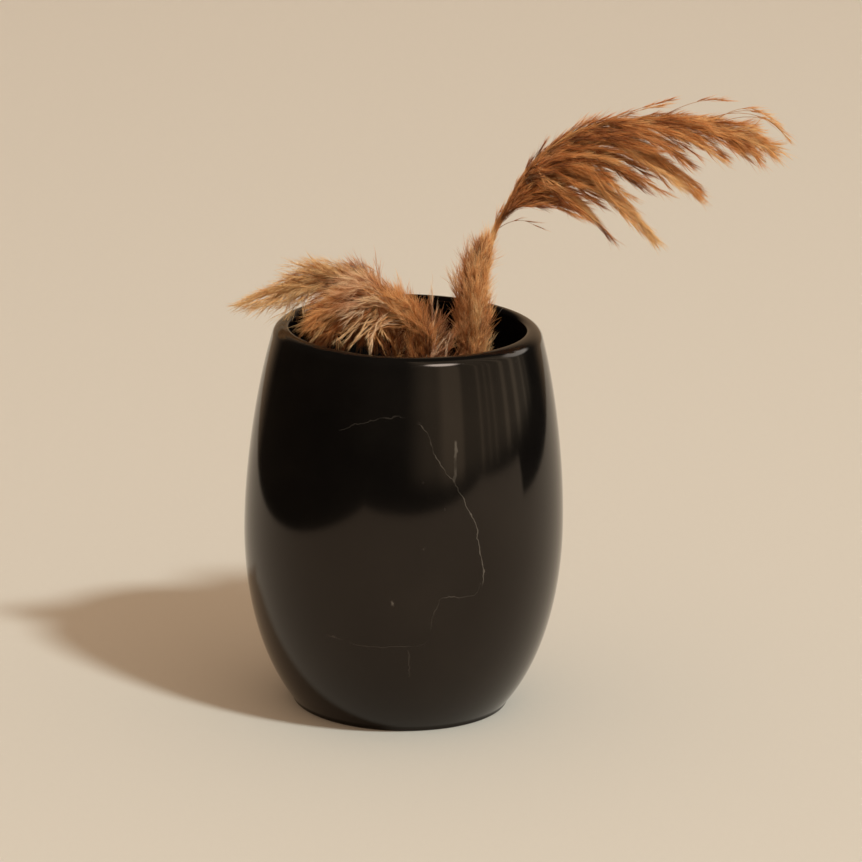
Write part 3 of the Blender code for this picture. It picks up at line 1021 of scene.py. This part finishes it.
def add_upright_reed(materials):
    name = "upright_reed"
    spine = plane_points(UPRIGHT_SPINE, UPRIGHT_PLANE)
    add_culm(name, spine, UPRIGHT_JOINTS, UPRIGHT_TAPER, materials)
    plume = smooth_path(spine[UPRIGHT_HEAD:], 12)
    parts = [Strands() for _ in UPRIGHT_PIECES]
    rng = np.random.default_rng(UPRIGHT_SEED)
    for i in range(UPRIGHT_BRANCHES):
        share = i / (UPRIGHT_BRANCHES - 1)
        start, way = along(plume, share)
        turn = i * GOLDEN_ANGLE
        out = np.array([math.cos(turn), math.sin(turn), 0.0])
        middle = start + way * np.interp(share, *UPRIGHT_RISE) * rng.uniform(0.8, 1.1)
        width = np.interp(middle[2], *UPRIGHT_WIDTH) * rng.uniform(0.45, 1.0)
        end = middle + out * max(0.4, width - 1.8)
        path = branch_path(start, unit(way + out * 0.55), end, unit(way + out * 0.12))
        # Painted shade: branches on the side away from the key light get a lower tone and some ash
        # colour, so that side looks darker and duller.
        tone, ash_and_shade = (0.12, 0.16) if out[0] < -0.35 else (0.34, 0.0)
        tone += rng.normal(scale=0.08)
        add_branch(parts[0 if share < 0.45 else 1], path, rng, FLUFFY, tone, ash_and_shade)
    for strands, (label, member) in zip(parts, UPRIGHT_PIECES):
        strands.make(f"{name}_{label}", name, [f"{name}_{member}"], materials, "reed_plume")


LEFT_SPINE = (
    (4, 8.4), (1.4, 60), (-3, 122), (-4.5, 138), (-9.5, 151.5), (-18, 161), (-28, 165.5),
    (-40, 164), (-51, 159.5), (-59, 156),
)
# As LONG_GROUPS, with how far the ends reach toward the front, and how ashen they are; in two darker
# ashen groups the low tone and the ash are partly painted shade.
LEFT_GROUPS = (
    (0.30, 0.52, -37, 173.4, 150, 1.3, 9, 1, 0.66, -7, 0.0),
    (0.32, 0.54, -43, 171.5, 160, 1.4, 10, 1, 0.64, -7, 0.0),
    (0.36, 0.58, -49.5, 168.7, 170, 1.2, 9, 1, 0.70, -7, 0.0),
    # Dark ashen streak in the top lobe: mauve-grey hair colour, partly painted shade.
    (0.34, 0.56, -46, 165.8, 182, 1.2, 8, 1, 0.08, -8, 0.35),
    (0.44, 0.66, -55, 160.6, 196, 1.2, 7, 1, 0.74, -7, 0.0),
    (0.38, 0.60, -46.5, 162.0, 194, 1.1, 7, 1, 0.82, -8, 0.0),
    (0.62, 0.92, -67.5, 153.4, 204, 0.6, 8, 1, 0.78, -8, 0.0),
    (0.56, 0.84, -61.5, 153.4, 206, 0.9, 8, 1, 0.66, -8, 0.0),
    (0.52, 0.80, -55, 154.4, 206, 1.2, 9, 1, 0.72, -8, 0.0),
    (0.50, 0.74, -48, 156.2, 208, 1.2, 8, 1, 0.66, -8, 0.0),
    (0.44, 0.66, -42, 158.6, 210, 1.1, 7, 1, 0.46, -6, 0.2),
    (0.24, 0.46, -31, 167.2, 168, 1.2, 11, 1, 0.46, 0, 0.0),
    (0.18, 0.38, -25, 165.2, 166, 1.2, 10, 0, 0.30, 0, 0.0),
    # Dark ashen group between the curled reed's swirl and the top lobe: mauve-grey hair colour, partly
    # painted shade between them.
    (0.28, 0.50, -37, 163.4, 196, 1.6, 10, 1, 0.16, -4, 0.50),
    (0.16, 0.36, -29, 162, 200, 2.2, 11, 0, 0.12, 0, 0.50),
    (0.06, 0.26, -24, 156, 214, 2.6, 10, 0, 0.14, 0, 0.35),
    (0.16, 0.40, -36, 154, 214, 2.2, 9, 0, 0.16, 0, 0.0),
    (0.00, 0.16, -11, 152, 128, 2.2, 10, 0, 0.10, -2, 0.0),
    (0.00, 0.14, 0, 149, 70, 2.6, 8, 0, -0.12, 0, 0.0),
    (0.00, 0.10, 7, 148, 56, 2.6, 8, 0, -0.14, 0, 0.1),
)

CURLED_SPINE = (
    (6, 8.4), (7, 60), (7.5, 118), (7.8, 132), (6.4, 143), (2.6, 152), (-4, 160), (-12, 164.5),
    (-20, 163.5), (-27, 157.5), (-32, 149),
)
CURLED_GROUPS = (
    (0.34, 0.58, -20, 168.2, 172, 1.3, 10, 1, 0.22, 0, 0.10),
    (0.40, 0.64, -28, 166.0, 196, 1.8, 11, 1, 0.34, 0, 0.45),
    (0.42, 0.54, -19, 164.8, 200, 1.6, 8, 1, 0.86, -9, 0.42),
    (0.44, 0.62, -24, 160.5, 212, 1.8, 5, 1, 0.40, -7, 0.50),
    (0.52, 0.78, -32, 160, 214, 2.0, 10, 1, 0.22, 0, 0.25),
    (0.56, 0.84, -37.5, 156, 214, 1.6, 11, 1, 0.14, 0, 0.0),
    (0.62, 0.88, -39.6, 152, 216, 1.2, 10, 1, 0.22, 0, 0.0),
    (0.70, 0.94, -35.5, 146.5, 228, 2.0, 11, 1, 0.0, -3, 0.0),
    (0.60, 0.84, -31, 151, 228, 2.2, 9, 1, -0.04, -4, 0.0),
    (0.54, 0.74, -24, 154, 236, 2.2, 8, 1, 0.06, -4, 0.1),
    (0.42, 0.60, -26.0, 148.8, 226, 1.5, 4, 1, 0.62, -10, 0.25),
    (0.42, 0.56, -21.5, 148.4, 232, 1.3, 3, 1, 0.58, -12, 0.20),
    (0.40, 0.50, -13.4, 147.0, 262, 0.5, 4, 1, 0.74, -18, 0.40),
    (0.38, 0.48, -6.0, 150.5, 308, 0.7, 2, 1, 0.50, -14, 0.05),
    (0.46, 0.64, -17, 155, 236, 2.2, 7, 1, 0.12, -6, 0.0),
    # Painted shade: these groups low in the hollow under the curl get low tones.
    (0.50, 0.82, -22, 148, 240, 4.0, 14, 1, -0.10, 2, 0.0),
    (0.44, 0.66, -12, 148, 258, 3.5, 9, 1, -0.26, 2, 0.0),
    (0.30, 0.48, -13, 167.2, 158, 1.2, 11, 0, 0.16, 0, 0.0),
    (0.20, 0.38, -8, 165.8, 144, 1.2, 11, 0, 0.12, 0, 0.0),
    (0.12, 0.30, -2.5, 162.0, 132, 1.2, 11, 0, 0.04, 0, 0.0),
    # Painted shade: the curl's right side, toward the upright reed, gets lower tones.
    (0.04, 0.20, 2.0, 157.0, 114, 1.2, 10, 0, -0.08, 0, 0.0),
    (0.00, 0.12, 4.6, 151.0, 92, 1.2, 9, 0, -0.12, 0, 0.0),
    (0.22, 0.46, -9, 161.0, 190, 2.0, 10, 0, 0.18, -4, 0.0),
    (0.12, 0.34, -4, 157.0, 172, 2.0, 9, 0, 0.0, -4, 0.0),
    # Painted shade: these groups fill the dark hollow under the curl with the lowest tones.
    (0.10, 0.26, -8, 152.5, 206, 2.0, 6, 0, -0.16, 2, 0.0),
    (0.06, 0.24, 0, 147, 250, 2.5, 6, 0, -0.28, 2, 0.0),
    # Painted shadow: the groups at the foot of the curl, toward the upright reed, get the lowest tones
    # for the shadow of its head, which this arrangement does not cast.
    (0.00, 0.10, 10, 152, 76, 2.2, 8, 0, -0.22, 4, 0.10),
    (0.00, 0.12, 12.5, 157, 74, 2.0, 7, 0, -0.20, 4, 0.15),
    (0.00, 0.10, 15.5, 151, 62, 2.2, 7, 0, -0.22, 4, 0.10),
    (0.00, 0.08, 16.0, 145, 50, 2.4, 7, 0, -0.22, 4, 0.05),
    (0.00, 0.10, 12.6, 154, 66, 2.0, 3, 0, 0.42, -10, 0.70),
    (0.00, 0.10, 15, 149, 44, 1.6, 3, 0, 0.22, -10, 0.60),
)
# Single hairs that stand clear: start share, end (x, z) and heading.
CURLED_SPIKES = ((0.04, 8.6, 172.5, 94), (0.02, 11.6, 164.0, 78), (0.22, -5.0, 177.5, 106))
LEFT_SPIKES = (
    (0.92, -72.0, 152.3, 190), (0.88, -70.5, 152.8, 196), (0.84, -69.5, 151.9, 200),
    (0.40, -39.0, 177.0, 120),
)
# Groups that reach this far to the front are the open sprays.
LOOSE_REACH = -9
BENT_HEAD = 2
BENT_PIECES = (("head_base", "plume_base"), ("head_tip", "plume_tip"))
BENT_REEDS = (
    {
        "name": "left_reed", "plane": 12.5, "spine": LEFT_SPINE, "groups": LEFT_GROUPS,
        "spikes": LEFT_SPIKES, "look": AIRY, "half_depth": 7.0, "seed": 37,
        "joints": (50.0, 100.0), "taper": ((0, 112, 215), (2.25, 1.7, 0.3)),
    },
    {
        "name": "curled_reed", "plane": -18.0, "spine": CURLED_SPINE, "groups": CURLED_GROUPS,
        "spikes": CURLED_SPIKES, "look": FLUFFY, "half_depth": 8.0, "seed": 41,
        "joints": (44.0, 94.0), "taper": ((0, 112, 205), (2.25, 1.7, 0.3)),
    },
)


def add_bent_groups(reed, parts, plume, rng):
    for low, high, x, z, tilt, spread, count, section, tone, reach, ash_and_shade in reed["groups"]:
        look = LOOSE if reach <= LOOSE_REACH else reed["look"]
        depth_range = reed["half_depth"] * (1.0 if reach == 0 else 0.4)
        for share in np.linspace(low, high, count):
            depth = reach + rng.uniform(-1, 1) * depth_range
            target = (x + rng.normal(scale=spread), z + rng.normal(scale=spread))
            add_group_branch(
                parts[section], plume, share, reed["plane"], depth, target,
                tilt + rng.normal(scale=9), rng, look, tone, ash_and_shade,
            )


def add_bent_reed(reed, materials):
    """A reed whose head bends over; its branches lie along the bend and fan at their ends."""
    name = reed["name"]
    spine = plane_points(reed["spine"], reed["plane"])
    add_culm(name, spine, reed["joints"], reed["taper"], materials)
    plume = smooth_path(spine[BENT_HEAD:], 10)
    parts = [Strands() for _ in BENT_PIECES]
    rng = np.random.default_rng(reed["seed"])
    add_bent_groups(reed, parts, plume, rng)
    for share, x, z, tilt in reed["spikes"]:
        near_base = share < 0.3
        depth = rng.uniform(-3, 3)
        add_group_branch(
            parts[0 if near_base else 1], plume, share, reed["plane"], depth, (x, z), tilt, rng,
            WISPY, 0.62, 0.5 if near_base else 0.0,
        )
    for strands, (label, member) in zip(parts, BENT_PIECES):
        strands.make(f"{name}_{label}", name, [f"{name}_{member}"], materials, "reed_plume")


def add_reeds():
    materials = reed_materials()
    add_long_reed(materials)
    add_upright_reed(materials)
    for reed in BENT_REEDS:
        add_bent_reed(reed, materials)


SCENE.view_settings.view_transform = "Standard"
add_camera()
add_floor()
add_key_light()
add_world()
add_vase()
add_reeds()
